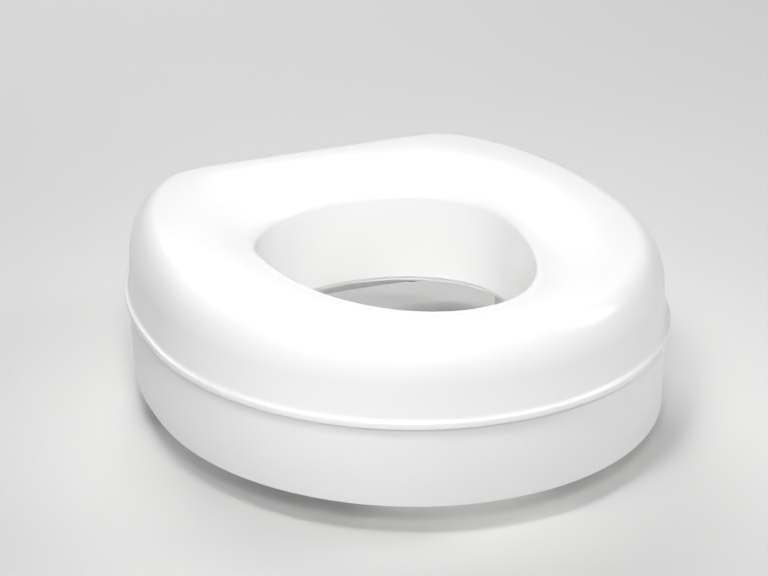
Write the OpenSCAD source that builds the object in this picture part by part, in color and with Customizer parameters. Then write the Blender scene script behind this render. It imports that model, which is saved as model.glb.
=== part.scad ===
// Raised toilet seat: a contoured seat shell on a riser base that stands on rubber rim pads.
// Four slotted brackets under the deck reach down below the pads and are clamped by hand knobs.
// Frame: +X right, -Y front, +Z up, origin under the middle of the seat at the bracket feet.
// Heights are measured from the bearing plane, which the undersides of the rim pads share.

/* [Overall size] */
// Width across the lip at its widest line
lip_w = 392; // [350:1:440]
// Depth of the front half, from the widest line to the front of the lip
front_d = 215.2; // [190:0.5:250]
// Depth of the rear half, from the widest line to the back of the lip
rear_d = 208.7; // [185:0.5:240]
// Roundness of the front half, 2 is an ellipse
front_n = 2.02; // [1.9:0.01:2.4]
// Squareness of the rear half
rear_n = 4.1; // [2.6:0.1:5]
// Share of the width lost towards the back edge
rear_taper = 0.17; // [0:0.01:0.25]
// Rise from the bearing plane to the ridge of the seat
rise = 127; // [110:1:150]
// How much lower the ridge is at the front
front_drop = 2.3; // [0:0.1:8]

/* [Seat shell] */
// Wall thickness of the shell
wall = 3; // [2.4:0.1:4]
// Height of the top of the lip
lip_z = 67.3; // [58:0.5:76]
// Thickness of the lip
lip_h = 5; // [4:0.5:7]
// How far the lip stands out from the wall above it
lip_out = 3; // [2:0.1:5]
// Inward lean of the upper wall
wall_lean = 1.9; // [0.5:0.1:5]
// Horizontal run of the outer rounding
round_run = 21.5; // [14:0.1:30]
// Height of the outer rounding
round_h = 35.1; // [25:0.5:45]
// Height of the inner rounding, from the ridge to the opening wall
dish_h = 21.8; // [14:0.5:32]
// Fullness of the inner rounding, 2 is an ellipse
dish_n = 2.1; // [1.8:0.05:2.8]

/* [Opening] */
// Width of the seat at its sides, from the lip to the opening
side_w = 96; // [86:0.5:106]
// Width of the seat at the front, from the lip to the opening
front_w = 85.2; // [76:0.2:96]
// Width of the seat at the back, from the lip to the opening
rear_w = 96.2; // [86:0.2:106]
// Distance of the opening's widest line behind the seat's widest line
egg_y = 29.5; // [20:0.2:36]
// Height of the lower edge of the opening wall
splash_z = 40.8; // [34:0.5:48]
// Inward draft of the opening wall from top to bottom
splash_draft = 2.5; // [1:0.1:5]

/* [Riser base] */
// Wall thickness of the skirt and deck
base_wall = 3; // [2.4:0.1:4]
// Inward draft of the skirt from top to bottom
skirt_draft = 1.4; // [0.5:0.1:4]
// Height of the skirt's lower edge
rim_gap = 1.5; // [1:0.1:3]
// Width of the bearing flange, measured from the lip
flange_in = 28; // [25:0.5:32]
// Thickness of the bearing flange
flange_t = 4; // [3:0.1:6]
// Draft of the wall between the flange and the deck
riser_draft = 0.8; // [0.4:0.1:2]
// Bevel along the skirt's lower edge
skirt_edge = 1; // [0.5:0.1:2]
// Reach of the locating tongue below the lip
tongue_h = 6; // [4:0.5:9]
// Thickness of the locating tongue
tongue_t = 2; // [1.5:0.1:2.5]
// Height of the upstand behind the opening wall
upstand_h = 6; // [4:0.5:10]
// Thickness of the upstand
upstand_t = 2; // [1.5:0.1:3]
// Reach of the deck under the opening wall
deck_lap = 1.5; // [1:0.1:2.5]
// Thickness of the stiffening and guide ribs
rib_t = 2; // [1.5:0.1:2.5]

/* [Assembly screws] */
// Angles of the assembly screws round the seat
screw_at = [-90, -50, -130, -8, 188, 35, 145, 90];
// Distance of the assembly screws from the lip
screw_in = 15.5; // [14:0.1:17]
// Screw shank diameter
screw_d = 4; // [3:0.1:5]
// Screw length under the head
screw_l = 21; // [15:1:30]
// Radius of the screw towers in the base
tower_r = 6.5; // [6:0.1:7.5]
// Thickness of the tower's floor above the screw head
tower_floor = 3; // [2:0.5:5]
// Wall thickness of the bosses in the shell
boss_wall = 3; // [2:0.1:3.5]

/* [Rim pads] */
// Angles of the rim pads round the seat
pad_at = [-70, -110, 20, 160, 62, 118];
// Distance of the rim pads from the lip
pad_in = 17; // [16:0.5:18]
// Radius of a rim pad
pad_r = 8.5; // [7:0.1:9]
// Depth of the seat that a rim pad sits in
pad_seat = 1.7; // [1:0.1:2.5]
// Radius of a rim pad's stem
pad_stem_r = 3; // [2:0.1:4]

/* [Brackets] */
// Directions of the front and rear brackets as seen from the middle of the opening
bracket_dir = [-54, 8];
// Distance of the clamp bolt outside the opening edge
bolt_out = 39; // [37:0.5:42]
// Distance of the leg's inner face outside the opening edge
leg_out = 9; // [8:0.5:10]
// Reach of the bracket feet below the bearing plane
foot_drop = 24; // [20:1:32]
// Width of the slotted arm
arm_w = 24; // [20:1:28]
// Thickness of the arm
arm_t = 5; // [4:0.2:6]
// Material between the slot and the end of the arm
arm_tip = 5.2; // [4:0.2:6]
// Thickness of the leg
leg_t = 4; // [3:0.2:5]
// Width of the leg
leg_w = 28; // [24:1:34]
// Fillet between leg and arm
leg_fillet = 3; // [2:0.5:4]
// Bracket travel to each side of the middle of the slot
travel = 8; // [5:0.5:8]
// Thickness of the rubber pad on the leg
grip_t = 4; // [3:0.2:5]
// Height of the rubber pad on the leg
grip_h = 20; // [16:1:22]
// Radius of the rubber pad's stems
grip_stem_r = 2.5; // [2:0.1:3]

/* [Clamps] */
// Clamp bolt diameter
bolt_d = 6; // [5:0.5:6]
// Washer radius
washer_r = 9; // [8:0.5:10]
// Washer thickness
washer_t = 1.6; // [1.2:0.1:2]
// Largest radius of the clamp knob
knob_r = 14; // [12:0.5:15]
// Height of the clamp knob
knob_h = 17; // [14:0.5:19]
// Radius of the knob's lobes
lobe_r = 4; // [3:0.5:5]
// Nut height
nut_h = 5; // [4:0.2:6]

/* [Clearances] */
// Gap between bodies that move past each other
run_gap = 0.3; // [0.2:0.05:0.6]
// Gap between parts fixed together
fix_gap = 0.05; // [0.02:0.01:0.1]
// Radial gap of the nut on the clamp bolt
thread_gap = 0.05; // [0.02:0.01:0.08]
// Radial gap of a shank that passes through a plain hole
pass_gap = 0.2; // [0.1:0.05:0.3]

/* [Hidden] */
$fa = 6;
$fs = 0.5;
stations = 92;
over = 1;
half_w = lip_w / 2;
egg_half = half_w - side_w;
egg_front = front_d + egg_y - front_w;
egg_rear = rear_d - egg_y - rear_w;
mid_y = (front_d - rear_d) / 2;
lip_z0 = lip_z - lip_h;
lip_r = lip_out / 2;
lip_edge = lip_h / 6;
wall_in = lip_out + wall_lean;
ridge_in = wall_in + round_run;
round_z = rise - round_h;
dish_z = rise - dish_h;
skirt_in = lip_out + pass_gap;
skirt_in_bot = skirt_in + skirt_draft;
tongue_in = skirt_in + base_wall + run_gap;
shell_in = max(tongue_in + tongue_t, wall_in + wall);
flange_top = rim_gap + flange_t;
deck_top = splash_z;
deck_z = deck_top - base_wall;
splash_out = wall - splash_draft;
upstand_in = splash_out + 2 * pass_gap;
upstand_out = upstand_in + upstand_t;
tower_top = lip_z0 - tongue_h + tongue_t;
head_h = 0.6 * screw_d;
head_r = screw_d;
boss_r = screw_d / 2 + boss_wall;
boss_top = round_z + 3 * boss_wall;
gusset_l = screw_in - wall_in - wall / 2;
gusset_drop = boss_wall + rib_t;
rib_l = screw_in - skirt_in - base_wall / 2;
pad_barb_h = pad_stem_r;
arm_z1 = deck_z - run_gap;
arm_z0 = arm_z1 - arm_t;
arm_end = travel + bolt_d / 2 + arm_tip;
arm_corner = arm_tip;
slot_r = bolt_d / 2 + run_gap;
leg_x = leg_out - bolt_out;
leg_mid = leg_w / 2 - foot_drop;
rib_x = leg_x + arm_w / 2 + rib_t;
rib_y = arm_w / 2 + run_gap + rib_t / 2;
grip_w = leg_w - leg_t;
grip_z = leg_t / 2 - foot_drop;
groove_w = grip_t * 0.35;
groove_d = grip_t / 4;
washer_z1 = arm_z0 - run_gap;
washer_z0 = washer_z1 - washer_t;
knob_z1 = washer_z0 - run_gap;
knob_z0 = knob_z1 - knob_h;
knob_collar = knob_h / 6;
nut_af = bolt_d * 5 / 3;
nut_z1 = knob_z1 - nut_h / 2;
bolt_end = knob_z0 + bolt_d / 2;
bolt_head_r = 1.15 * bolt_d;
bolt_head_h = 0.55 * bolt_d;
bolt_dome_r = 2 * bolt_d;
neck_w = bolt_d + 2 * fix_gap;

function spow(v, e) = pow(max(v, 0), e);
function rim_r(p) = let (n = sin(p) < 0 ? front_n : rear_n, b = sin(p) < 0 ? front_d : rear_d)
    pow(pow(abs(cos(p)) / half_w, n) + pow(abs(sin(p)) / b, n), -1 / n);
function rim_pt(p) = let (r = rim_r(p), y = r * sin(p), k = 1 - rear_taper * pow(max(y, 0) / rear_d, 2))
    [r * cos(p) * k, y];
function rim_nrm(p) = let (d = rim_pt(p + 0.2) - rim_pt(p - 0.2)) [d[1], -d[0]] / norm(d);
function rim_in(p, d) = rim_pt(p) - d * rim_nrm(p);
function egg_pt(q) = let (b = sin(q) < 0 ? egg_front : egg_rear)
    [0, egg_y] + [cos(q), sin(q)] / sqrt(pow(cos(q) / egg_half, 2) + pow(sin(q) / b, 2));
function egg_nrm(q) = let (d = egg_pt(q + 0.2) - egg_pt(q - 0.2)) [d[1], -d[0]] / norm(d);
function egg_off(q, d) = egg_pt(q) + d * egg_nrm(q);
function egg_dir(p) = let (o = rim_pt(p)) atan2(o[1] - egg_y, o[0]);

function up(v, z) = [v[0], v[1], z];
function egg_row(q, d, z) = up(egg_off(q, d), z);
// Heights above the lip come down a little towards the front
function low(p, z) = z <= lip_z ? z : z - (z - lip_z) * front_drop * (1 - sin(p)) / 2 / (rise - lip_z);
function rim_row(p, d, z) = up(rim_in(p, d), low(p, z));

// Rounded top edge of the lip at angle a, and the fillet from the lip into the wall at angle b
function lip_row(p, a) = rim_row(p, lip_r * (1 - cos(a)), lip_z - lip_r * (1 - sin(a)));
function lip_fillet_row(p, b) = rim_row(p, lip_r * (1 + sin(b)), lip_z + lip_r * (1 - cos(b)));
// Outer rounding at angle a, set in by t from the visible face
function round_row(p, a, t) =
    rim_row(p, ridge_in - (round_run - t) * cos(a), round_z + (round_h - t) * sin(a));
// Inner rounding at angle a from the ridge, set in by t from the visible face
function dish_row(p, a, t) =
    let (r = rim_in(p, ridge_in), v = egg_pt(egg_dir(p)) - r, s = 1 - t / norm(v))
    up(r + v * s * spow(sin(a), 2 / dish_n), low(p, dish_z + (dish_h - t) * spow(cos(a), 2 / dish_n)));

function shell_loop(p) = let (q = egg_dir(p)) concat(
    [rim_row(p, lip_edge, lip_z0), rim_row(p, 0, lip_z0 + lip_edge)],
    [for (a = [0:30:90]) lip_row(p, a)],
    [for (b = [30:30:90]) lip_fillet_row(p, b)],
    [for (a = [0:12:84]) round_row(p, a, 0)],
    [for (a = [0:9:90]) dish_row(p, a, 0)],
    [egg_row(q, -splash_draft, splash_z), egg_row(q, splash_out, splash_z)],
    [for (a = [90:-15:15]) dish_row(p, a, wall)],
    [for (a = [90:-18:18]) round_row(p, a, wall)],
    [
        rim_row(p, shell_in, round_z),
        rim_row(p, shell_in, lip_z0 - tongue_h),
        rim_row(p, tongue_in, lip_z0 - tongue_h),
        rim_row(p, tongue_in, lip_z0)
    ]
);

function base_loop(p) = let (q = egg_dir(p)) [
    rim_row(p, skirt_in + base_wall, lip_z0),
    rim_row(p, skirt_in_bot + base_wall, flange_top),
    rim_row(p, flange_in - base_wall, flange_top),
    rim_row(p, flange_in - base_wall + riser_draft, deck_top),
    egg_row(q, upstand_out + pass_gap, deck_top),
    egg_row(q, upstand_out, deck_top + upstand_h),
    egg_row(q, upstand_in, deck_top + upstand_h),
    egg_row(q, upstand_in - pass_gap, deck_top),
    egg_row(q, deck_lap - splash_draft, deck_top),
    egg_row(q, deck_lap - splash_draft, deck_z),
    rim_row(p, flange_in + riser_draft, deck_z),
    rim_row(p, flange_in, rim_gap),
    rim_row(p, skirt_in_bot + skirt_edge, rim_gap),
    rim_row(p, skirt_in_bot, rim_gap + skirt_edge),
    rim_row(p, skirt_in, lip_z0)
];

// Closed ring lofted through the profile loops of all stations
module ring_loft(loops) {
    n = len(loops);
    m = len(loops[0]);
    pts = [for (l = loops) each l];
    tris = [
        for (i = [0:n - 1], j = [0:m - 1])
            let (k = (j + 1) % m, e = (i + 1) % n)
            let (a = i * m + j, b = i * m + k, c = e * m + k, d = e * m + j)
            each [[a, b, c], [a, c, d]]
    ];
    polyhedron(pts, tris, convexity = 10);
}

// Puts heights from the bearing plane into the part's frame
module placed() {
    translate([0, mid_y, foot_drop]) children();
}

// Runs its children at a place on the lip's outline, +X pointing outwards
module at_rim(p, d) {
    n = rim_nrm(p);
    translate(rim_in(p, d)) rotate(atan2(n[1], n[0])) children();
}

// Runs its children at the clamp bolt of one bracket, +X pointing outwards
module at_bracket(q) {
    n = egg_nrm(q);
    translate(egg_off(q, bolt_out)) rotate(atan2(n[1], n[0])) children();
}

// Runs its children at all four clamp bolts
module at_brackets() {
    for (q = bracket_dir, s = [0, 1]) at_bracket(s == 0 ? q : 180 - q) children();
}

module bar(x0, x1, w, z0, z1) {
    translate([x0, -w / 2, z0]) cube([x1 - x0, w, z1 - z0]);
}

module rod(r, z0, z1) {
    translate([0, 0, z0]) cylinder(r = r, h = z1 - z0);
}

// Round bar along X
module pin(r, x0, x1, z) {
    translate([x0, 0, z]) rotate([0, 90, 0]) cylinder(r = r, h = x1 - x0);
}

module hex(af, z0, z1) {
    translate([0, 0, z0]) linear_extrude(z1 - z0)
        polygon([for (a = [30:60:330]) af / sqrt(3) * [cos(a), sin(a)]]);
}

// Upper moulding: lip, bullnose, dished seat and opening wall, screw bosses inside
module seat_shell() {
    color("white") placed() difference() {
        union() {
            ring_loft([for (i = [0:stations - 1]) shell_loop(i * 360 / stations)]);
            for (p = screw_at) at_rim(p, screw_in) {
                rod(boss_r, tower_top, boss_top);
                bar(0, gusset_l, rib_t, tower_top + over, boss_top - gusset_drop);
            }
        }
        for (p = screw_at) at_rim(p, screw_in)
            rod(screw_d / 2 + fix_gap, tower_top - over, tower_top + screw_l);
    }
}

// Lower moulding: skirt, bearing flange, deck with guide ribs, screw towers
module riser_base() {
    color("whitesmoke") placed() difference() {
        union() {
            ring_loft([for (i = [0:stations - 1]) base_loop(i * 360 / stations)]);
            for (p = screw_at) at_rim(p, screw_in) {
                rod(tower_r, rim_gap + flange_t / 8, tower_top);
                bar(0, rib_l, rib_t, flange_top - over, tower_top - tower_floor);
            }
            at_brackets() for (y = [-rib_y, rib_y]) translate([0, y, 0])
                bar(rib_x, arm_end + travel, rib_t, arm_z0 + over, deck_z + over);
        }
        for (p = screw_at) at_rim(p, screw_in) {
            rod(head_r + 2 * pass_gap, 0, tower_top - tower_floor);
            rod(screw_d / 2 + pass_gap, 0, tower_top + over);
        }
        for (p = pad_at) at_rim(p, pad_in) {
            rod(pad_r + run_gap, 0, rim_gap + pad_seat);
            rod(pad_stem_r, 0, flange_top + over);
        }
        at_brackets() bar(-neck_w / 2, neck_w / 2, neck_w, deck_z - over, deck_top + over);
    }
}

// Self-tapping screws driven up the towers into the shell's bosses
module shell_screws() {
    head_z = tower_top - tower_floor;
    cross_l = 0.96 * head_r;
    cross_w = 0.22 * head_r;
    cross_z = head_z - 0.42 * head_h;
    color("silver") placed() for (p = screw_at) at_rim(p, screw_in) difference() {
        union() {
            rod(head_r, head_z - head_h, head_z);
            rod(screw_d / 2, head_z, head_z + screw_l);
            translate([0, 0, head_z + screw_l])
                cylinder(r1 = screw_d / 2, r2 = screw_d / 10, h = screw_d / 2);
        }
        for (a = [0, 90]) rotate(a) bar(-cross_l / 2, cross_l / 2, cross_w, head_z - head_h - over, cross_z);
    }
}

// Rubber pads that carry the seat, their barbed stems pushed through the flange
module rim_pads() {
    color("dimgray") placed() for (p = pad_at) at_rim(p, pad_in) {
        rod(pad_r, 0, rim_gap + pad_seat);
        rod(pad_stem_r, rim_gap + pad_seat / 2, flange_top + pad_barb_h / 6);
        translate([0, 0, flange_top])
            cylinder(r1 = 4 / 3 * pad_stem_r, r2 = 3 / 4 * pad_stem_r, h = pad_barb_h);
    }
}

// Square-neck clamp bolts, heads on top of the deck
module deck_bolts() {
    color("silver") placed() at_brackets() {
        intersection() {
            rod(bolt_head_r, deck_top, deck_top + bolt_head_h + over);
            translate([0, 0, deck_top + bolt_head_h - bolt_dome_r]) sphere(r = bolt_dome_r);
        }
        bar(-bolt_d / 2, bolt_d / 2, bolt_d, deck_z + pass_gap, deck_top + bolt_head_h / 6);
        rod(bolt_d / 2, bolt_end, deck_top);
    }
}

// Slotted arm under the deck with a leg that reaches down below the bearing plane
module bracket(q) {
    face = leg_x + leg_t;
    color("gainsboro") placed() at_bracket(q) difference() {
        union() {
            bar(face, arm_end - arm_corner, arm_w, arm_z0, arm_z1);
            bar(face, arm_end, arm_w - 2 * arm_corner, arm_z0, arm_z1);
            for (y = [-1, 1]) translate([arm_end - arm_corner, y * (arm_w / 2 - arm_corner), 0])
                rod(arm_corner, arm_z0, arm_z1);
            bar(leg_x, face, leg_w, leg_mid, arm_z1);
            pin(leg_w / 2, leg_x, face, leg_mid);
            bar(face - over, face + leg_fillet, arm_w, arm_z0 - leg_fillet, arm_z0 + over);
        }
        translate([face + leg_fillet, arm_w, arm_z0 - leg_fillet]) rotate([90, 0, 0])
            cylinder(r = leg_fillet, h = 2 * arm_w);
        bar(-travel, travel, 2 * slot_r, arm_z0 - over, arm_z1 + over);
        for (x = [-travel, travel]) translate([x, 0, 0]) rod(slot_r, arm_z0 - over, arm_z1 + over);
        for (k = [1, 3]) pin(grip_stem_r, leg_x - over, face + over, grip_z + k * grip_h / 4);
    }
}

// Ribbed rubber pad on the leg, its stems pushed through two holes
module bracket_pad(q) {
    face = leg_x + leg_t;
    front = face + grip_t;
    stem_head_t = 0.6 * grip_stem_r;
    color("dimgray") placed() at_bracket(q) {
        difference() {
            bar(face, front, grip_w, grip_z, grip_z + grip_h);
            for (k = [1:4]) translate([0, 0, grip_z + k * grip_h / 5])
                bar(front - groove_d, front + over, grip_w + 2 * over, -groove_w / 2, groove_w / 2);
        }
        for (k = [1, 3]) {
            pin(grip_stem_r, leg_x - stem_head_t, face + grip_t / 8, grip_z + k * grip_h / 4);
            pin(1.5 * grip_stem_r, leg_x - stem_head_t, leg_x, grip_z + k * grip_h / 4);
        }
    }
}

// Plain washer between knob and arm
module washer(q) {
    color("silver") placed() at_bracket(q) difference() {
        rod(washer_r, washer_z0, washer_z1);
        rod(bolt_d / 2 + pass_gap, washer_z0 - over, washer_z1 + over);
    }
}

// Six-lobed hand knob moulded round a nut
module knob(q) {
    core_z1 = knob_z1 - 2 / 3 * knob_collar;
    color("gray") placed() at_bracket(q) difference() {
        union() {
            rod(knob_r - 3 / 4 * lobe_r, knob_z0, core_z1);
            for (a = [0:60:300]) rotate(a) translate([knob_r - lobe_r, 0, 0])
                rod(lobe_r, knob_z0 + lobe_r / 3, core_z1 - lobe_r / 3);
            rod(nut_af * 0.7, knob_z1 - knob_collar, knob_z1);
        }
        rod(bolt_d / 2 + pass_gap, bolt_end - 2 * run_gap, knob_z1 + over);
        hex(nut_af + 2 * fix_gap, nut_z1 - nut_h - fix_gap, nut_z1 + fix_gap);
    }
}

// Nut held in the knob
module nut(q) {
    color("silver") placed() at_bracket(q) difference() {
        hex(nut_af, nut_z1 - nut_h, nut_z1);
        rod(bolt_d / 2 + thread_gap, nut_z1 - nut_h - over, nut_z1 + over);
    }
}

module bracket_fr() { bracket(bracket_dir[0]); }
module bracket_fl() { bracket(180 - bracket_dir[0]); }
module bracket_rr() { bracket(bracket_dir[1]); }
module bracket_rl() { bracket(180 - bracket_dir[1]); }
module bracket_pad_fr() { bracket_pad(bracket_dir[0]); }
module bracket_pad_fl() { bracket_pad(180 - bracket_dir[0]); }
module bracket_pad_rr() { bracket_pad(bracket_dir[1]); }
module bracket_pad_rl() { bracket_pad(180 - bracket_dir[1]); }
module washer_fr() { washer(bracket_dir[0]); }
module washer_fl() { washer(180 - bracket_dir[0]); }
module washer_rr() { washer(bracket_dir[1]); }
module washer_rl() { washer(180 - bracket_dir[1]); }
module knob_fr() { knob(bracket_dir[0]); }
module knob_fl() { knob(180 - bracket_dir[0]); }
module knob_rr() { knob(bracket_dir[1]); }
module knob_rl() { knob(180 - bracket_dir[1]); }
module nut_fr() { nut(bracket_dir[0]); }
module nut_fl() { nut(180 - bracket_dir[0]); }
module nut_rr() { nut(bracket_dir[1]); }
module nut_rl() { nut(180 - bracket_dir[1]); }

seat_shell();
riser_base();
shell_screws();
rim_pads();
deck_bolts();
bracket_fl();
bracket_fr();
bracket_rl();
bracket_rr();
bracket_pad_fl();
bracket_pad_fr();
bracket_pad_rl();
bracket_pad_rr();
washer_fl();
washer_fr();
washer_rl();
washer_rr();
knob_fl();
knob_fr();
knob_rl();
knob_rr();
nut_fl();
nut_fr();
nut_rl();
nut_rr();
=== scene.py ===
import math

import bmesh
import bpy
from mathutils import Matrix, Vector


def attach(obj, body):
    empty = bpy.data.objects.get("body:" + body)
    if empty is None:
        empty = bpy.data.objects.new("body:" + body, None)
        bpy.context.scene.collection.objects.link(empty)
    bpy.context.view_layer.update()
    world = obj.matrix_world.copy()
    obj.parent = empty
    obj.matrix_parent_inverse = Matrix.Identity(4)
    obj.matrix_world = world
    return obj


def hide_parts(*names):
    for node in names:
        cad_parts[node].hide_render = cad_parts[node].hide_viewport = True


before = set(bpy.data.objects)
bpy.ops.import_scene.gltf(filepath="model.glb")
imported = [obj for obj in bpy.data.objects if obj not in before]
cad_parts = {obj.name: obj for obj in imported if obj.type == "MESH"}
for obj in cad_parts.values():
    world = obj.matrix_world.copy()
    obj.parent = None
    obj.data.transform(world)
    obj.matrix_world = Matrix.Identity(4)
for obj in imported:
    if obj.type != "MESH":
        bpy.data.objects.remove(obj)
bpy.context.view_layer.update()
bpy.ops.object.select_all(action="DESELECT")


# Camera: a long lens on a tripod, in front of the seat and to its left, looking down on it
# by about 23 degrees with almost no roll.
turn, tilt, roll = math.radians(-22.394), math.radians(22.694), math.radians(-0.727)
base_middle = Vector((0, 0.00325, 0.0252))
aim_left, aim_up, distance = 0.01367, 0.07064, 1.9764
sensor_mm, focal_px, image_px, far_clip = 36, 2600, 768, 60
back = Vector((math.sin(turn) * math.cos(tilt), -math.cos(turn) * math.cos(tilt), math.sin(tilt)))
level = Vector((math.cos(turn), math.sin(turn), 0))
upright = back.cross(level)
right = level * math.cos(roll) + upright * math.sin(roll)
upward = upright * math.cos(roll) - level * math.sin(roll)
aim = base_middle - right * aim_left + upward * aim_up
bpy.ops.object.camera_add()
camera = bpy.context.object
camera.matrix_world = (Matrix.Translation(aim + back * distance)
                       @ Matrix((right, upward, back)).transposed().to_4x4())
camera.data.sensor_width = sensor_mm
camera.data.lens = sensor_mm * focal_px / image_px
camera.data.clip_end = far_clip
bpy.context.scene.camera = camera


# Studio: a pale floor under the seat's feet, a narrow lamp close above the front edge that shines
# into the opening, and soft boxes at the camera, behind the seat and, weaker, at its two sides.
floor_size, sky_strength, lit_point = 14, 0.26, Vector((0, 0, 0.1))


def srgb(code):
    """Linear RGBA of an sRGB hex colour."""
    parts = [int(code[i:i + 2], 16) / 255 for i in (1, 3, 5)]
    return [c / 12.92 if c <= 0.04045 else ((c + 0.055) / 1.055) ** 2.4 for c in parts] + [1.0]


def add(tree, kind, values=(), links=(), **settings):
    """Adds a node with its settings, its socket values and its links from other nodes' outputs."""
    node = tree.nodes.new(kind)
    for key, value in settings.items():
        setattr(node, key, value)
    for key, value in dict(values).items():
        node.inputs[key].default_value = value
    for key, source in dict(links).items():
        tree.links.new(source, node.inputs[key])
    return node


bpy.ops.mesh.primitive_plane_add(size=floor_size)
floor = bpy.context.object
floor.name = "floor"
painted_floor = bpy.data.materials.new("matt_white_floor")
painted_floor.use_nodes = True
tree = painted_floor.node_tree
shader = tree.nodes["Principled BSDF"]
# Matt paint, its white clouded by a few tones over half a metre.
shader.inputs["Roughness"].default_value = 0.7
place = add(tree, "ShaderNodeTexCoord").outputs["Object"]
cloud = add(tree, "ShaderNodeTexNoise", {"Scale": 2.0, "Detail": 3.0}, {"Vector": place})
tint = add(tree, "ShaderNodeMix", {"A": srgb("#e6e6e5"), "B": srgb("#eaeae9")},
           {"Factor": cloud.outputs["Fac"]}, data_type="RGBA")
tree.links.new(tint.outputs["Result"], shader.inputs["Base Color"])
floor.data.materials.append(painted_floor)

scene = bpy.context.scene
scene.view_settings.view_transform = "Standard"
scene.world = bpy.data.worlds.new("studio")
scene.world.use_nodes = True
sky = scene.world.node_tree.nodes["Background"]
sky.inputs["Color"].default_value = srgb("#f4f5f6")
sky.inputs["Strength"].default_value = sky_strength
# Each lamp's place and size in metres, its power in watts and its spread in degrees.
for name, spot, size, power, spread in (
    ("overhead", (-0.3, -0.42, 0.85), 0.25, 0.46, 55),
    ("front", (-0.72, -1.78, 1.45), 0.4, 14, 180),
    ("back", (0.2, 1.7, 1.8), 1.2, 23, 180),
    ("left", (-1.6, -0.6, 1.0), 0.6, 2.5, 180),
    ("right", (1.7, -0.6, 1.1), 0.6, 9, 180),
):
    bpy.ops.object.light_add(type="AREA", location=spot)
    lamp = bpy.context.object
    lamp.name = name
    lamp.data.size = size
    lamp.data.energy = power
    lamp.data.spread = math.radians(spread)
    lamp.rotation_euler = (lit_point - lamp.location).to_track_quat("-Z", "Y").to_euler()


# Riser base: the lower moulding, injection-moulded white polypropylene. A skirt with a slight
# draft stands on a bearing flange; inside it a riser wall carries the deck round the opening.
# Screw towers rise from the flange, and guide ribs under the deck keep the brackets straight.
half_w, front_d, rear_d, front_power = 0.196, 0.2152, 0.2087, 2.02
egg_half, egg_front, egg_rear, egg_y = 0.1, 0.1595, 0.083, 0.0295
mid_y, foot_drop = 0.00325, 0.024
flange_z, flange_top, deck_z, deck_top, lip_z0 = 0.0015, 0.0055, 0.0378, 0.0408, 0.0623


def tapered(square, taper, bend):
    """An outline by its angle: an ellipse in front, a squarer and tapering form behind."""
    def at(p):
        x, y = math.cos(p), math.sin(p)
        power, depth = (front_power, front_d) if y < 0 else (square, rear_d)
        r = ((abs(x) / half_w) ** power + (abs(y) / depth) ** power) ** (-1 / power)
        y *= r
        return Vector((r * x * (1 - taper * (max(y, 0) / rear_d) ** bend), y))
    return at


# The lip and the skirt have squarer rear corners than the riser wall inside them.
lip_point = tapered(square=10.9, taper=0.325, bend=2.4)
riser_point = tapered(square=4.1, taper=0.17, bend=2)


def egg_point(q):
    """The opening's outline at angle q about its own middle."""
    depth = egg_front if math.sin(q) < 0 else egg_rear
    r = 1 / math.hypot(math.cos(q) / egg_half, math.sin(q) / depth)
    return Vector((r * math.cos(q), egg_y + r * math.sin(q)))


def outward(curve, p, step=0.003):
    """Unit normal of an outline at angle p, pointing out."""
    d = curve(p + step) - curve(p - step)
    return Vector((d.y, -d.x)).normalized()


def lip_row(inset, z, outline=lip_point):
    """A row of the section at a distance inside the lip, with heights from the rim pads' plane."""
    def at(p):
        v = outline(p) - outward(outline, p) * inset
        return Vector((v.x, v.y + mid_y, z + foot_drop))
    return at


def riser_row(inset, z):
    """A row of the riser wall."""
    return lip_row(inset, z, riser_point)


def egg_row(offset, z):
    """A row of the section at a distance outside the opening."""
    def at(p):
        o = lip_point(p)
        q = math.atan2(o.y - egg_y, o.x)
        v = egg_point(q) + outward(egg_point, q) * offset
        return Vector((v.x, v.y + mid_y, z + foot_drop))
    return at


def extrude_ring(name, rows, stations=240):
    """A ring: a circle laid to the first row of its section, extruded row by row and closed."""
    bpy.ops.object.select_all(action="DESELECT")
    bpy.ops.mesh.primitive_circle_add(vertices=stations, radius=half_w)
    ring = bpy.context.object
    ring.name = ring.data.name = name
    bpy.ops.object.mode_set(mode="EDIT")
    mesh = bmesh.from_edit_mesh(ring.data)
    station = mesh.verts.layers.int.new("station")
    for i, vert in enumerate(mesh.verts):
        vert[station] = i
    for count, row in enumerate(rows + rows[:1]):
        if count:
            bpy.ops.mesh.extrude_region_move(TRANSFORM_OT_translate={"value": (0, 0, 0)})
            mesh = bmesh.from_edit_mesh(ring.data)
            station = mesh.verts.layers.int["station"]
        for vert in mesh.verts:
            if vert.select:
                vert.co = row(2 * math.pi * vert[station] / stations)
        bmesh.update_edit_mesh(ring.data)
    bpy.ops.mesh.select_all(action="SELECT")
    bpy.ops.mesh.remove_doubles(threshold=1e-6)
    bpy.ops.mesh.normals_make_consistent(inside=False)
    bpy.ops.object.mode_set(mode="OBJECT")
    ring.data.attributes.remove(ring.data.attributes["station"])
    return ring


def beside(curve, degrees, offset):
    """Placement in the rim pads' plane at a distance outside an outline, x pointing outwards."""
    p = math.radians(degrees)
    n = outward(curve, p)
    v = curve(p) + n * offset
    return (Matrix.Translation((v.x, v.y + mid_y, foot_drop))
            @ Matrix.Rotation(math.atan2(n.y, n.x), 4, "Z"))


def rod(place, r, z0, z1):
    """A round bar standing at a placement."""
    bpy.ops.object.select_all(action="DESELECT")
    bpy.ops.mesh.primitive_cylinder_add(vertices=48, radius=r, depth=z1 - z0,
                                        location=(0, 0, (z0 + z1) / 2))
    bpy.ops.object.transform_apply()
    bar = bpy.context.object
    bar.data.transform(place)
    return bar


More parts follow.
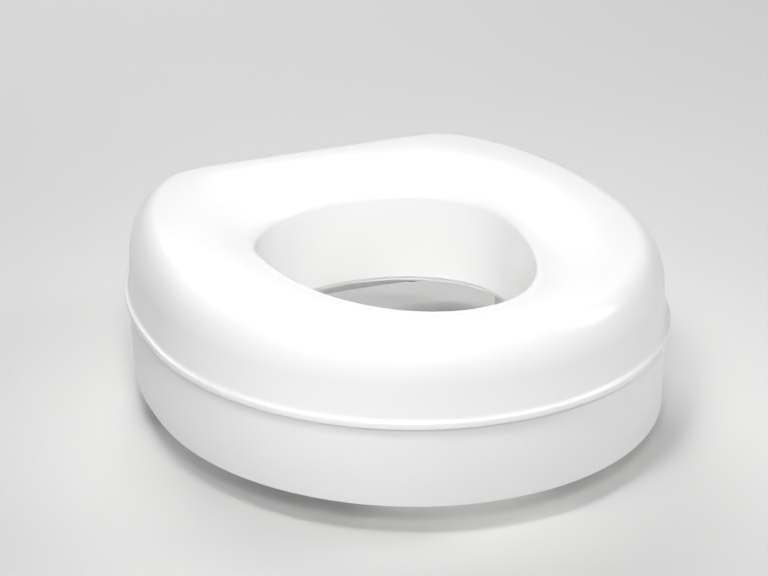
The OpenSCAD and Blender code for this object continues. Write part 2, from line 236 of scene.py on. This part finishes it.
def block(place, low, high):
    """A rectangular bar between two corners at a placement."""
    bpy.ops.object.select_all(action="DESELECT")
    bpy.ops.mesh.primitive_cube_add(size=1, location=[(a + b) / 2 for a, b in zip(low, high)],
                                    scale=[b - a for a, b in zip(low, high)])
    bpy.ops.object.transform_apply()
    bar = bpy.context.object
    bar.data.transform(place)
    return bar


def joined(pieces, name):
    """Several meshes as one piece."""
    bpy.ops.object.select_all(action="DESELECT")
    for piece in pieces:
        piece.select_set(True)
    bpy.context.view_layer.objects.active = pieces[0]
    bpy.ops.object.join()
    pieces[0].name = pieces[0].data.name = name
    return pieces[0]


def carve(piece, tool, operation="DIFFERENCE"):
    """Cuts a piece with a tool, or joins the tool to it, and takes the tool away."""
    bpy.context.view_layer.objects.active = piece
    cut = piece.modifiers.new("cut", "BOOLEAN")
    cut.object = tool
    cut.operation = operation
    cut.solver = "EXACT"
    bpy.ops.object.modifier_apply(modifier=cut.name)
    bpy.data.objects.remove(tool)


def soften(piece, width=0, angle=35):
    """Rounds a piece's edges where a width is given, clears slivers and shades it smooth."""
    bpy.ops.object.select_all(action="DESELECT")
    piece.select_set(True)
    bpy.context.view_layer.objects.active = piece
    if width:
        edge = piece.modifiers.new("edge", "BEVEL")
        edge.width = width
        edge.segments = 2
        edge.limit_method = "ANGLE"
        edge.angle_limit = math.radians(angle)
        bpy.ops.object.modifier_apply(modifier=edge.name)
    bpy.ops.object.mode_set(mode="EDIT")
    bpy.ops.mesh.select_all(action="SELECT")
    bpy.ops.mesh.remove_doubles(threshold=2e-6)
    bpy.ops.mesh.dissolve_degenerate(threshold=1e-5)
    bpy.ops.object.mode_set(mode="OBJECT")
    bpy.ops.object.shade_smooth_by_angle(angle=math.radians(angle))


deck_ring = deck_top + 0.006
skirt_rows = [
    # Down the inside of the skirt, and across the flange with a fillet at both ends.
    lip_row(0.0062, lip_z0 - 0.0004), lip_row(0.0062, lip_z0 - 0.001),
    lip_row(0.0076, flange_top + 0.0015), lip_row(0.0082, flange_top + 0.0004),
    lip_row(0.0092, flange_top), riser_row(0.0235, flange_top),
    riser_row(0.0245, flange_top + 0.0004), riser_row(0.0251, flange_top + 0.0015),
    # Up the riser wall, over the deck and its low ring, and round the edge of the opening.
    riser_row(0.0257, deck_top - 0.0006), riser_row(0.0262, deck_top),
    egg_row(0.0033, deck_top), egg_row(0.0031, deck_ring),
    egg_row(0.0011, deck_ring), egg_row(0.0009, deck_top),
    egg_row(-0.0008, deck_top), egg_row(-0.001, deck_top - 0.0004),
    egg_row(-0.001, deck_z + 0.0006), egg_row(-0.0008, deck_z + 0.0001),
    # Back under the deck, down the inside of the riser wall and out under the flange.
    egg_row(-0.0003, deck_z), riser_row(0.0304, deck_z),
    riser_row(0.0293, deck_z - 0.0004), riser_row(0.0288, deck_z - 0.0016),
    riser_row(0.028, 0.0024), riser_row(0.0277, 0.0017),
    riser_row(0.027, flange_z), lip_row(0.0062, flange_z),
    # Round the foot of the skirt and up its outer face to the lip.
    lip_row(0.0054, 0.0016), lip_row(0.0048, 0.002), lip_row(0.0046, 0.0027),
    lip_row(0.0039, 0.032), lip_row(0.0033, lip_z0 - 0.0012),
    lip_row(0.0034, lip_z0 - 0.0006), lip_row(0.0038, lip_z0 - 0.0004),
]
base = extrude_ring("riser_base_moulding", skirt_rows)
screw_in, pad_in, bolt_out = 0.0155, 0.017, 0.039
screw_spots = [beside(riser_point, degrees, -screw_in)
               for degrees in (-90, -50, -130, -8, 188, 35, 145, 90)]
pad_spots = [beside(riser_point, degrees, -pad_in) for degrees in (-70, -110, 20, 160, 62, 118)]
clamp_spots = {corner: beside(egg_point, degrees, bolt_out)
               for corner, degrees in (("fr", -54), ("fl", 234), ("rr", 8), ("rl", 172))}

# Towers, each tied to the skirt by a web, and the guide ribs.
tower_r, tower_z0, tower_z1, head_seat = 0.0065, 0.002, 0.0583, 0.0553
web_half, web_reach, web_z0 = 0.001, 0.0095, 0.0045
rib_in, rib_out, rib_y, rib_half, rib_z, rib_edge = 0.016, 0.0242, 0.0133, 0.001, 0.0335, 0.0004
past = 0.001
towers = []
for spot in screw_spots:
    tower = rod(spot, tower_r, tower_z0, tower_z1)
    web = block(spot, (0, -web_half, web_z0), (web_reach, web_half, head_seat))
    carve(tower, web, "UNION")
    towers.append(tower)
for spot in clamp_spots.values():
    for side in (-1, 1):
        rib = block(spot, (-rib_in, side * rib_y - rib_half, rib_z),
                    (rib_out, side * rib_y + rib_half, deck_z + past))
        soften(rib, rib_edge)
        towers.append(rib)
carve(base, joined(towers, "towers"), "UNION")

# Room for the screw heads, the rim pads and the bolts' square necks, then the narrower holes
# for the screws' shanks and the pads' stems.
head_room, pad_room, pad_seat, neck = 0.0044, 0.0088, 0.0032, 0.00305
shank_hole, stem_hole = (0.0022, 0.05, 0.06), (0.003, 0.002, 0.007)
bores = [rod(spot, head_room, -past, head_seat) for spot in screw_spots]
bores += [rod(spot, pad_room, -past, pad_seat) for spot in pad_spots]
bores += [block(spot, (-neck, -neck, deck_z - past), (neck, neck, deck_top + past))
          for spot in clamp_spots.values()]
carve(base, joined(bores, "bores"))
stem_holes = [rod(spot, *shank_hole) for spot in screw_spots]
stem_holes += [rod(spot, *stem_hole) for spot in pad_spots]
carve(base, joined(stem_holes, "stem_holes"))
soften(base, angle=32)

moulded_white = bpy.data.materials.new("satin_white_polypropylene")
moulded_white.use_nodes = True
tree = moulded_white.node_tree
shader = tree.nodes["Principled BSDF"]
# Satin gloss from a polished mould with a fine spark-eroded grain, about 0.6 mm, that only
# breaks up the reflections a little; the colour varies by a few tones over a hand's width.
shader.inputs["IOR"].default_value = 1.49
place = add(tree, "ShaderNodeTexCoord").outputs["Object"]
patch = add(tree, "ShaderNodeTexNoise", {"Scale": 9.0, "Detail": 3.0}, {"Vector": place})
tint = add(tree, "ShaderNodeMix", {"A": srgb("#f2f2f2"), "B": srgb("#f5f5f4")},
           {"Factor": patch.outputs["Fac"]}, data_type="RGBA")
tree.links.new(tint.outputs["Result"], shader.inputs["Base Color"])
gloss = add(tree, "ShaderNodeMapRange", {"To Min": 0.3, "To Max": 0.38},
            {"Value": patch.outputs["Fac"]})
tree.links.new(gloss.outputs["Result"], shader.inputs["Roughness"])
grain = add(tree, "ShaderNodeTexNoise", {"Scale": 1600.0, "Detail": 2.0}, {"Vector": place})
relief = add(tree, "ShaderNodeBump", {"Strength": 0.05, "Distance": 0.0003},
             {"Height": grain.outputs["Fac"]})
tree.links.new(relief.outputs["Normal"], shader.inputs["Normal"])
base.data.materials.append(moulded_white)
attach(base, "seat")
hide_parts("riser_base")


# Seat shell: the upper moulding, glossy white polypropylene. An out-turned lip sits on the
# skirt; the wall leans in above it, rolls over a full bullnose to the ridge, and falls away
# to the egg-shaped opening, whose smooth wall reaches down to the deck.
lip_z, rise, front_drop, wall, wall_lean = 0.0673, 0.127, 0.0023, 0.003, 0.0049
round_run, round_h, dish_h, dish_power = 0.0215, 0.0351, 0.0218, 2.1
ridge_in = wall_lean + round_run


def lowered(p, z):
    """The seat is a little lower in front, fading out at the lip."""
    if z <= lip_z:
        return z
    return z - (z - lip_z) / (rise - lip_z) * front_drop * (1 - math.sin(p)) / 2


def crown_row(inset, z):
    """A row of the shell above the lip."""
    return lambda p: lip_row(inset, lowered(p, z))(p)


def bullnose_row(degrees, t):
    """The outer rounding at an angle, set in by the wall t."""
    a = math.radians(degrees)
    return crown_row(ridge_in - (round_run - t) * math.cos(a),
                     rise - round_h + (round_h - t) * math.sin(a))


def dish_row(degrees, t):
    """The fall from the ridge to the opening at an angle, set in by the wall t."""
    a = math.radians(degrees)

    def at(p):
        ridge = lip_row(ridge_in, 0)(p)
        run = egg_row(0, 0)(p) - ridge
        v = ridge + run * (1 - t / run.length) * max(math.sin(a), 0) ** (2 / dish_power)
        z = rise - dish_h + (dish_h - t) * max(math.cos(a), 0) ** (2 / dish_power)
        return Vector((v.x, v.y, lowered(p, z) + foot_drop))
    return at


tongue_z = lip_z0 - 0.006
shell_rows = [
    # Round the lower edge of the lip, up its face and round the upper edge.
    lip_row(0.0007, lip_z0), lip_row(0.0003, lip_z0 + 0.0001),
    lip_row(0.0001, lip_z0 + 0.0003), lip_row(0, lip_z0 + 0.0007),
    lip_row(0, lip_z - 0.0012), lip_row(0.0001, lip_z - 0.0007),
    lip_row(0.0003, lip_z - 0.0004), lip_row(0.0006, lip_z - 0.0001),
    # In along the lip, round the fillet and up the leaning wall.
    lip_row(0.001, lip_z), crown_row(0.0016, lip_z + 0.0001),
    crown_row(0.0021, lip_z + 0.0003), crown_row(0.0025, lip_z + 0.0007),
    crown_row(0.0028, lip_z + 0.0012), crown_row(0.003, lip_z + 0.002),
    crown_row(0.0031, lip_z + 0.003), crown_row(0.0034, lip_z + 0.006),
    crown_row(0.0042, lip_z + 0.0155),
]
shell_rows += [bullnose_row(degrees, 0) for degrees in range(0, 90, 4)]
shell_rows += [dish_row(step * 2.5, 0) for step in range(37)]
shell_rows += [
    # Down the wall of the opening and round its foot on the deck.
    egg_row(-0.0006, 0.09), egg_row(-0.0016, 0.065),
    egg_row(-0.0024, deck_top + 0.0015), egg_row(-0.0025, deck_top + 0.0006),
    egg_row(-0.0022, deck_top + 0.0001), egg_row(-0.0017, deck_top), egg_row(0.0005, deck_top),
]
shell_rows += [dish_row(degrees, wall) for degrees in range(90, 0, -10)]
shell_rows += [bullnose_row(degrees, wall) for degrees in range(90, 0, -10)]
shell_rows += [
    # Down inside the wall to the tongue that reaches into the skirt.
    lip_row(0.0083, rise - round_h), lip_row(0.0083, tongue_z),
    lip_row(0.0065, tongue_z), lip_row(0.0065, lip_z0),
]
shell = extrude_ring("seat_shell_moulding", shell_rows, stations=288)

# Bosses that stand on the towers, each tied to the wall by a web, with a pilot hole.
boss_r, boss_top, boss_web_reach, boss_web_z0, boss_web_z1 = 0.005, 0.1009, 0.0091, 0.0593, 0.0959
pilot_hole = (0.00205, 0.0573, 0.0793)
bosses = []
for spot in screw_spots:
    boss = rod(spot, boss_r, tower_z1, boss_top)
    web = block(spot, (0, -web_half, boss_web_z0), (boss_web_reach, web_half, boss_web_z1))
    carve(boss, web, "UNION")
    bosses.append(boss)
carve(shell, joined(bosses, "bosses"), "UNION")
carve(shell, joined([rod(spot, *pilot_hole) for spot in screw_spots], "boss_holes"))
soften(shell, angle=40)

polished_white = bpy.data.materials.new("glossy_white_polypropylene")
polished_white.use_nodes = True
tree = polished_white.node_tree
shader = tree.nodes["Principled BSDF"]
# High gloss from a polished mould, with the faint long waviness of thick moulded walls,
# about 16 mm across, and a fine orange peel of about 2 mm.
shader.inputs["IOR"].default_value = 1.49
place = add(tree, "ShaderNodeTexCoord").outputs["Object"]
patch = add(tree, "ShaderNodeTexNoise", {"Scale": 7.0, "Detail": 3.0}, {"Vector": place})
tint = add(tree, "ShaderNodeMix", {"A": srgb("#f5f5f5"), "B": srgb("#f8f8f7")},
           {"Factor": patch.outputs["Fac"]}, data_type="RGBA")
tree.links.new(tint.outputs["Result"], shader.inputs["Base Color"])
gloss = add(tree, "ShaderNodeMapRange", {"To Min": 0.2, "To Max": 0.27},
            {"Value": patch.outputs["Fac"]})
tree.links.new(gloss.outputs["Result"], shader.inputs["Roughness"])
peel = add(tree, "ShaderNodeTexNoise", {"Scale": 480.0, "Detail": 2.0}, {"Vector": place})
wave = add(tree, "ShaderNodeTexNoise", {"Scale": 60.0, "Detail": 1.0}, {"Vector": place})
fine = add(tree, "ShaderNodeBump", {"Strength": 0.03, "Distance": 0.0003},
           {"Height": peel.outputs["Fac"]})
relief = add(tree, "ShaderNodeBump", {"Strength": 0.04, "Distance": 0.001},
             {"Height": wave.outputs["Fac"], "Normal": fine.outputs["Normal"]})
tree.links.new(relief.outputs["Normal"], shader.inputs["Normal"])
shell.data.materials.append(polished_white)
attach(shell, "seat")
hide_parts("seat_shell")


# Assembly screws: eight self-tapping steel screws, bright zinc plated, driven from below up the
# towers into the shell's bosses. Deck bolts and knob nuts: four square-neck bolts fixed in the
# deck, and the nuts that run on them, of the same finish.
zinc_plate = bpy.data.materials.new("bright_zinc_plated_steel")
zinc_plate.use_nodes = True
tree = zinc_plate.node_tree
shader = tree.nodes["Principled BSDF"]
# A bluish bright plate with a faint cloudy passivation, patches of about 3 mm, and fine
# drawing marks of about 0.3 mm in the roughness.
shader.inputs["Metallic"].default_value = 1.0
place = add(tree, "ShaderNodeTexCoord").outputs["Object"]
cloud = add(tree, "ShaderNodeTexNoise", {"Scale": 330.0, "Detail": 3.0}, {"Vector": place})
tint = add(tree, "ShaderNodeMix", {"A": srgb("#b9bcbf"), "B": srgb("#cfd1d2")},
           {"Factor": cloud.outputs["Fac"]}, data_type="RGBA")
tree.links.new(tint.outputs["Result"], shader.inputs["Base Color"])
marks = add(tree, "ShaderNodeTexNoise", {"Scale": 3300.0, "Detail": 2.0}, {"Vector": place})
gloss = add(tree, "ShaderNodeMapRange", {"To Min": 0.24, "To Max": 0.42},
            {"Value": marks.outputs["Fac"]})
tree.links.new(gloss.outputs["Result"], shader.inputs["Roughness"])
for name in ("shell_screws", "deck_bolts", "nut_fl", "nut_fr", "nut_rl", "nut_rr"):
    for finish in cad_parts[name].material_slots:
        finish.material = zinc_plate


# Rim pads: six grey rubber pads under the bearing flange, pushed through it by a barbed stem.
# They carry the whole seat, and a shallow ring in the face keeps them from slipping.
def turned(name, profile, sides=64):
    """A round piece: a circle extruded along a profile of radius and height, closed at the ends."""
    bpy.ops.object.select_all(action="DESELECT")
    bpy.ops.mesh.primitive_circle_add(vertices=sides, radius=1)
    piece = bpy.context.object
    piece.name = piece.data.name = name
    bpy.ops.object.mode_set(mode="EDIT")
    bpy.ops.mesh.edge_face_add()
    for count, (r, z) in enumerate(profile):
        if count:
            bpy.ops.mesh.extrude_region_move(TRANSFORM_OT_translate={"value": (0, 0, 0)})
        mesh = bmesh.from_edit_mesh(piece.data)
        for vert in mesh.verts:
            if vert.select:
                around = Vector((vert.co.x, vert.co.y)).normalized()
                reach = r(math.atan2(around.y, around.x)) if callable(r) else r
                vert.co = (around.x * reach, around.y * reach, z)
        bmesh.update_edit_mesh(piece.data)
    bpy.ops.mesh.select_all(action="SELECT")
    bpy.ops.mesh.normals_make_consistent(inside=False)
    bpy.ops.object.mode_set(mode="OBJECT")
    return piece


def set_at(model, place, name):
    """A copy of a modelled piece with its own mesh, set at a placement."""
    copy = bpy.data.objects.new(name, model.data.copy())
    copy.data.name = name
    copy.data.transform(place)
    scene.collection.objects.link(copy)
    return copy


pad_r, pad_stem, barb_z = 0.0085, 0.003, 0.0056
pad_model = turned("rim_pad_model", [
    # The bearing ring, then the side.
    (0.0048, 0.0005), (0.0049, 0.0001), (0.0052, 0), (0.0076, 0),
    (0.0081, 0.0001), (0.0084, 0.0005), (pad_r, 0.0009), (pad_r, pad_seat),
    # The stem and its barb.
    (pad_stem, pad_seat), (pad_stem, barb_z), (0.004, barb_z),
    (0.0041, 0.0059), (0.0025, 0.0082), (0.0021, 0.0085),
])
soften(pad_model, angle=40)
pads = joined([set_at(pad_model, spot, "pad") for spot in pad_spots], "rim_pads_rubber")
bpy.data.objects.remove(pad_model)

moulded_rubber = bpy.data.materials.new("moulded_grey_rubber")
moulded_rubber.use_nodes = True
tree = moulded_rubber.node_tree
shader = tree.nodes["Principled BSDF"]
# Dull mid grey with a soft bloom in patches of about 5 mm, over a fine moulded grain that is
# drawn at 0.5 mm so that it shows.
shader.inputs["IOR"].default_value = 1.52
place = add(tree, "ShaderNodeTexCoord").outputs["Object"]
bloom = add(tree, "ShaderNodeTexNoise", {"Scale": 200.0, "Detail": 4.0}, {"Vector": place})
tint = add(tree, "ShaderNodeMix", {"A": srgb("#5d5e60"), "B": srgb("#6e6f70")},
           {"Factor": bloom.outputs["Fac"]}, data_type="RGBA")
tree.links.new(tint.outputs["Result"], shader.inputs["Base Color"])
gloss = add(tree, "ShaderNodeMapRange", {"To Min": 0.62, "To Max": 0.8},
            {"Value": bloom.outputs["Fac"]})
tree.links.new(gloss.outputs["Result"], shader.inputs["Roughness"])
grain = add(tree, "ShaderNodeTexNoise", {"Scale": 2000.0, "Detail": 2.0}, {"Vector": place})
relief = add(tree, "ShaderNodeBump", {"Strength": 0.2, "Distance": 0.0002},
             {"Height": grain.outputs["Fac"]})
tree.links.new(relief.outputs["Normal"], shader.inputs["Normal"])
pads.data.materials.append(moulded_rubber)
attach(pads, "seat")
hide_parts("rim_pads")


# Brackets: four angle pieces of white polyamide. A slotted arm lies under the deck between the
# guide ribs, held there by the knob, and a round-ended leg reaches down below the rim pads.
leg_x, leg_t, leg_w = -0.03, 0.004, 0.028
arm_w, arm_end, arm_z0, arm_z1 = 0.024, 0.0162, 0.0325, 0.0375
slot_r, travel, arm_tip, leg_fillet, edge_r = 0.0033, 0.008, 0.0052, 0.003, 0.0006
grip_z, grip_h, stem_r = -0.022, 0.02, 0.0025
leg_face, leg_mid, near = leg_x + leg_t, leg_w / 2 - foot_drop, 1e-5
along_x = Matrix.Rotation(math.pi / 2, 4, "Y")
stem_spots = [Matrix.Translation((leg_x, 0, grip_z + high)) @ along_x
              for high in (grip_h / 4, 3 * grip_h / 4)]


def pick(piece, kind, test):
    """Selects, in edit mode, the vertices, the edges or the faces that lie where a test says."""
    bpy.ops.mesh.select_mode(type=kind)
    bpy.ops.mesh.select_all(action="DESELECT")
    mesh = bmesh.from_edit_mesh(piece.data)
    if kind == "VERT":
        chosen = [v for v in mesh.verts if test(v.co)]
    elif kind == "EDGE":
        chosen = [e for e in mesh.edges if all(test(v.co) for v in e.verts)]
    else:
        chosen = [f for f in mesh.faces if test(f.calc_center_median())]
    for part in chosen:
        part.select_set(True)
    bmesh.update_edit_mesh(piece.data)


def push(x, y, z):
    """Extrudes what is selected."""
    bpy.ops.mesh.extrude_region_move(TRANSFORM_OT_translate={"value": (x, y, z)})


def true_flats(piece):
    """Keeps the light even on a piece's flat faces beside its rounded edges."""
    bpy.context.view_layer.objects.active = piece
    even = piece.modifiers.new("even", "WEIGHTED_NORMAL")
    even.keep_sharp = True
    bpy.ops.object.modifier_apply(modifier=even.name)


# The leg: the lower half of a circle, drawn up to the arm's height and given its thickness.
bpy.ops.object.select_all(action="DESELECT")
bpy.ops.mesh.primitive_circle_add(vertices=64, radius=leg_w / 2, location=(leg_x, 0, leg_mid),
                                  rotation=(0, math.pi / 2, 0))
bpy.ops.object.transform_apply()
bracket_model = bpy.context.object
bpy.ops.object.mode_set(mode="EDIT")
pick(bracket_model, "VERT", lambda c: c.z > leg_mid + near)
bpy.ops.mesh.delete(type="VERT")
pick(bracket_model, "VERT", lambda c: c.z > leg_mid - near)
push(0, 0, arm_z1 - leg_mid)
bpy.ops.mesh.edge_face_add()
bpy.ops.mesh.select_all(action="SELECT")
bpy.ops.mesh.edge_face_add()
push(leg_t, 0, 0)
bpy.ops.mesh.select_all(action="SELECT")
bpy.ops.mesh.normals_make_consistent(inside=False)
bpy.ops.object.mode_set(mode="OBJECT")
soften(bracket_model, edge_r)

# The arm: a bar with a fillet under its root and two rounded corners at its end.
arm = block(Matrix(), (leg_x + leg_t / 2, -arm_w / 2, arm_z0), (arm_end, arm_w / 2, arm_z1))
bpy.ops.object.mode_set(mode="EDIT")
bpy.ops.mesh.select_all(action="SELECT")
bpy.ops.mesh.bisect(plane_co=(leg_face, 0, 0), plane_no=(1, 0, 0))
pick(arm, "FACE", lambda c: c.x < leg_face and c.z < arm_z0 + near)
push(0, 0, -leg_fillet)
bpy.ops.mesh.select_all(action="SELECT")
bpy.ops.mesh.dissolve_limited(angle_limit=math.radians(1))
bpy.ops.mesh.select_all(action="SELECT")
bpy.ops.mesh.normals_make_consistent(inside=False)
pick(arm, "EDGE", lambda c: abs(c.x - leg_face) < near and abs(c.z - arm_z0) < near)
bpy.ops.mesh.bevel(offset=leg_fillet, segments=6, affect="EDGES")
for side in (-1, 1):
    pick(arm, "EDGE", lambda c: abs(c.x - arm_end) < near and abs(c.y - side * arm_w / 2) < near)
    bpy.ops.mesh.bevel(offset=arm_tip, segments=8, affect="EDGES")
bpy.ops.object.mode_set(mode="OBJECT")
soften(arm, edge_r)
carve(bracket_model, arm, "UNION")

# The slot, and the two holes for the pad's stems.
slot = rod(Matrix(), slot_r, arm_z0 - past, arm_z1 + past)
for vert in slot.data.vertices:
    vert.co.x += math.copysign(travel, vert.co.x) if abs(vert.co.x) > near else 0
carve(bracket_model, slot)
for spot in stem_spots:
    carve(bracket_model, rod(spot, stem_r, -past, leg_t + past))
soften(bracket_model)
true_flats(bracket_model)

moulded_polyamide = bpy.data.materials.new("matt_white_polyamide")
moulded_polyamide.use_nodes = True
tree = moulded_polyamide.node_tree
shader = tree.nodes["Principled BSDF"]
# A little warmer and flatter than the shell, with an eroded texture of about 0.8 mm.
shader.inputs["IOR"].default_value = 1.53
place = add(tree, "ShaderNodeTexCoord").outputs["Object"]
patch = add(tree, "ShaderNodeTexNoise", {"Scale": 60.0, "Detail": 3.0}, {"Vector": place})
tint = add(tree, "ShaderNodeMix", {"A": srgb("#e3e2de"), "B": srgb("#eae9e6")},
           {"Factor": patch.outputs["Fac"]}, data_type="RGBA")
tree.links.new(tint.outputs["Result"], shader.inputs["Base Color"])
gloss = add(tree, "ShaderNodeMapRange", {"To Min": 0.48, "To Max": 0.6},
            {"Value": patch.outputs["Fac"]})
tree.links.new(gloss.outputs["Result"], shader.inputs["Roughness"])
grain = add(tree, "ShaderNodeTexNoise", {"Scale": 1250.0, "Detail": 2.0}, {"Vector": place})
relief = add(tree, "ShaderNodeBump", {"Strength": 0.12, "Distance": 0.0002},
             {"Height": grain.outputs["Fac"]})
tree.links.new(relief.outputs["Normal"], shader.inputs["Normal"])
bracket_model.data.materials.append(moulded_polyamide)
for corner, spot in clamp_spots.items():
    bracket = set_at(bracket_model, spot, "bracket_arm_" + corner)
    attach(bracket, "bracket_" + corner)
    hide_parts("bracket_" + corner)
bpy.data.objects.remove(bracket_model)


# Bracket pads: grey rubber, ribbed across the outer face that grips, held by two stems that
# are pushed through the leg and swell behind it.
grip_t, grip_w, grip_edge, groove_half, groove_deep = 0.004, 0.024, 0.0009, 0.0007, 0.001
grip_face, groove_edge, stem_head = leg_face + grip_t, 0.0002, 0.0037
grip_model = block(Matrix(), (leg_face, -grip_w / 2, grip_z),
                   (grip_face, grip_w / 2, grip_z + grip_h))
bpy.ops.object.mode_set(mode="EDIT")
pick(grip_model, "EDGE", lambda c: c.x > grip_face - near)
bpy.ops.mesh.bevel(offset=grip_edge, segments=3, affect="EDGES")
bpy.ops.object.mode_set(mode="OBJECT")
grooves = [block(Matrix(), (grip_face - groove_deep, -grip_w, grip_z + groove - groove_half),
                 (grip_face + past, grip_w, grip_z + groove + groove_half))
           for groove in (0.004, 0.008, 0.012, 0.016)]
carve(grip_model, joined(grooves, "grooves"))
soften(grip_model, groove_edge, angle=40)
true_flats(grip_model)
stem_model = turned("stem_model", [
    (0.0022, -0.0015), (0.0029, -0.0014), (0.0034, -0.0011), (stem_head, -0.0006),
    (stem_head, 0), (stem_r, 0), (stem_r, leg_t + 0.0002),
], sides=48)
soften(stem_model, angle=40)
stems = [set_at(stem_model, spot, "stem") for spot in stem_spots]
bpy.data.objects.remove(stem_model)
grip_model = joined([grip_model] + stems, "grip_model")
grip_model.data.materials.append(moulded_rubber)
for corner, spot in clamp_spots.items():
    grip = set_at(grip_model, spot, "bracket_grip_" + corner)
    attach(grip, "bracket_" + corner)
    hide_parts("bracket_pad_" + corner)
bpy.data.objects.remove(grip_model)


# Washers: plain stamped steel washers, bright zinc plated, one between each knob and its arm,
# with the edge rounded on the punched side.
washer_z0, washer_z1, washer_r, washer_bore = 0.0306, 0.0322, 0.009, 0.0032


def round_rows(profile):
    """The rows of a round closed section, given as radius and height."""
    return [lambda p, r=r, z=z: Vector((r * math.cos(p), r * math.sin(p), z)) for r, z in profile]


washer_model = extrude_ring("washer_model", round_rows([
    (washer_bore, washer_z0 + 0.0002), (washer_bore + 0.0002, washer_z0),
    (washer_r - 0.0002, washer_z0), (washer_r, washer_z0 + 0.0002),
    (washer_r, washer_z1 - 0.0005), (washer_r - 0.0002, washer_z1 - 0.0001),
    (washer_r - 0.0006, washer_z1), (washer_bore, washer_z1),
]), stations=64)
soften(washer_model, angle=30)
washer_model.data.materials.append(zinc_plate)
for corner, spot in clamp_spots.items():
    washer = set_at(washer_model, spot, "washer_disc_" + corner)
    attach(washer, "washer_" + corner)
    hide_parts("washer_" + corner)
bpy.data.objects.remove(washer_model)


# Clamp knobs: grey polyamide hand knobs with six lobes, moulded round a nut. A collar bears on
# the washer, the lobes are rounded for wet hands, and the lower face is dished.
knob_z0, knob_z1, knob_core, knob_r, knob_bore = 0.0133, 0.0303, 0.011, 0.014, 0.0032
nut_z0, nut_z1, nut_room, collar_r = 0.0227, 0.0279, 0.0059, 0.007
lobes, lobe_power = 6, 0.7


def lobed(inset):
    """The knob's outline at a distance inside its lobes."""
    return lambda p: (knob_core + (knob_r - knob_core)
                      * (0.5 + 0.5 * math.cos(lobes * p)) ** lobe_power - inset)


knob_model = turned("knob_model", [
    # Up the bore, round the nut, and over the collar.
    (knob_bore, knob_z0 + 0.0024), (knob_bore, nut_z0), (nut_room, nut_z0),
    (nut_room, nut_z1), (knob_bore, nut_z1), (knob_bore, knob_z1 - 0.0003),
    (knob_bore + 0.0003, knob_z1), (0.0066, knob_z1), (0.0069, knob_z1 - 0.0001),
    (collar_r, knob_z1 - 0.0004), (collar_r, knob_z1 - 0.0019),
    (0.0073, knob_z1 - 0.0022), (0.0082, knob_z1 - 0.0023),
    # Round the lobes.
    (lobed(0.0025), knob_z1 - 0.0025), (lobed(0.0013), knob_z1 - 0.0029),
    (lobed(0.0005), knob_z1 - 0.0037), (lobed(0.0001), knob_z1 - 0.0049),
    (lobed(0), knob_z1 - 0.0062), (lobed(0), knob_z0 + 0.004),
    (lobed(0.0002), knob_z0 + 0.0024), (lobed(0.0007), knob_z0 + 0.0012),
    (lobed(0.0015), knob_z0 + 0.0004), (lobed(0.0025), knob_z0),
    # In along the lower face and its dish.
    (0.0077, knob_z0), (0.0074, knob_z0 + 0.0002), (0.0068, knob_z0 + 0.0009),
    (0.006, knob_z0 + 0.0012), (0.003, knob_z0 + 0.0013),
], sides=144)
soften(knob_model, angle=40)

textured_polyamide = bpy.data.materials.new("matt_grey_polyamide")
textured_polyamide.use_nodes = True
tree = textured_polyamide.node_tree
shader = tree.nodes["Principled BSDF"]
# Dark neutral grey with an eroded grip texture of about 0.8 mm and slightly shinier patches,
# about 8 mm, where hands have turned it.
shader.inputs["IOR"].default_value = 1.53
place = add(tree, "ShaderNodeTexCoord").outputs["Object"]
patch = add(tree, "ShaderNodeTexNoise", {"Scale": 125.0, "Detail": 3.0}, {"Vector": place})
tint = add(tree, "ShaderNodeMix", {"A": srgb("#5c5e60"), "B": srgb("#67696b")},
           {"Factor": patch.outputs["Fac"]}, data_type="RGBA")
tree.links.new(tint.outputs["Result"], shader.inputs["Base Color"])
gloss = add(tree, "ShaderNodeMapRange", {"To Min": 0.42, "To Max": 0.58},
            {"Value": patch.outputs["Fac"]})
tree.links.new(gloss.outputs["Result"], shader.inputs["Roughness"])
grain = add(tree, "ShaderNodeTexNoise", {"Scale": 1250.0, "Detail": 2.0}, {"Vector": place})
relief = add(tree, "ShaderNodeBump", {"Strength": 0.2, "Distance": 0.0002},
             {"Height": grain.outputs["Fac"]})
tree.links.new(relief.outputs["Normal"], shader.inputs["Normal"])
knob_model.data.materials.append(textured_polyamide)
for corner, spot in clamp_spots.items():
    knob = set_at(knob_model, spot, "clamp_knob_" + corner)
    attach(knob, "knob_" + corner)
    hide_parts("knob_" + corner)
bpy.data.objects.remove(knob_model)
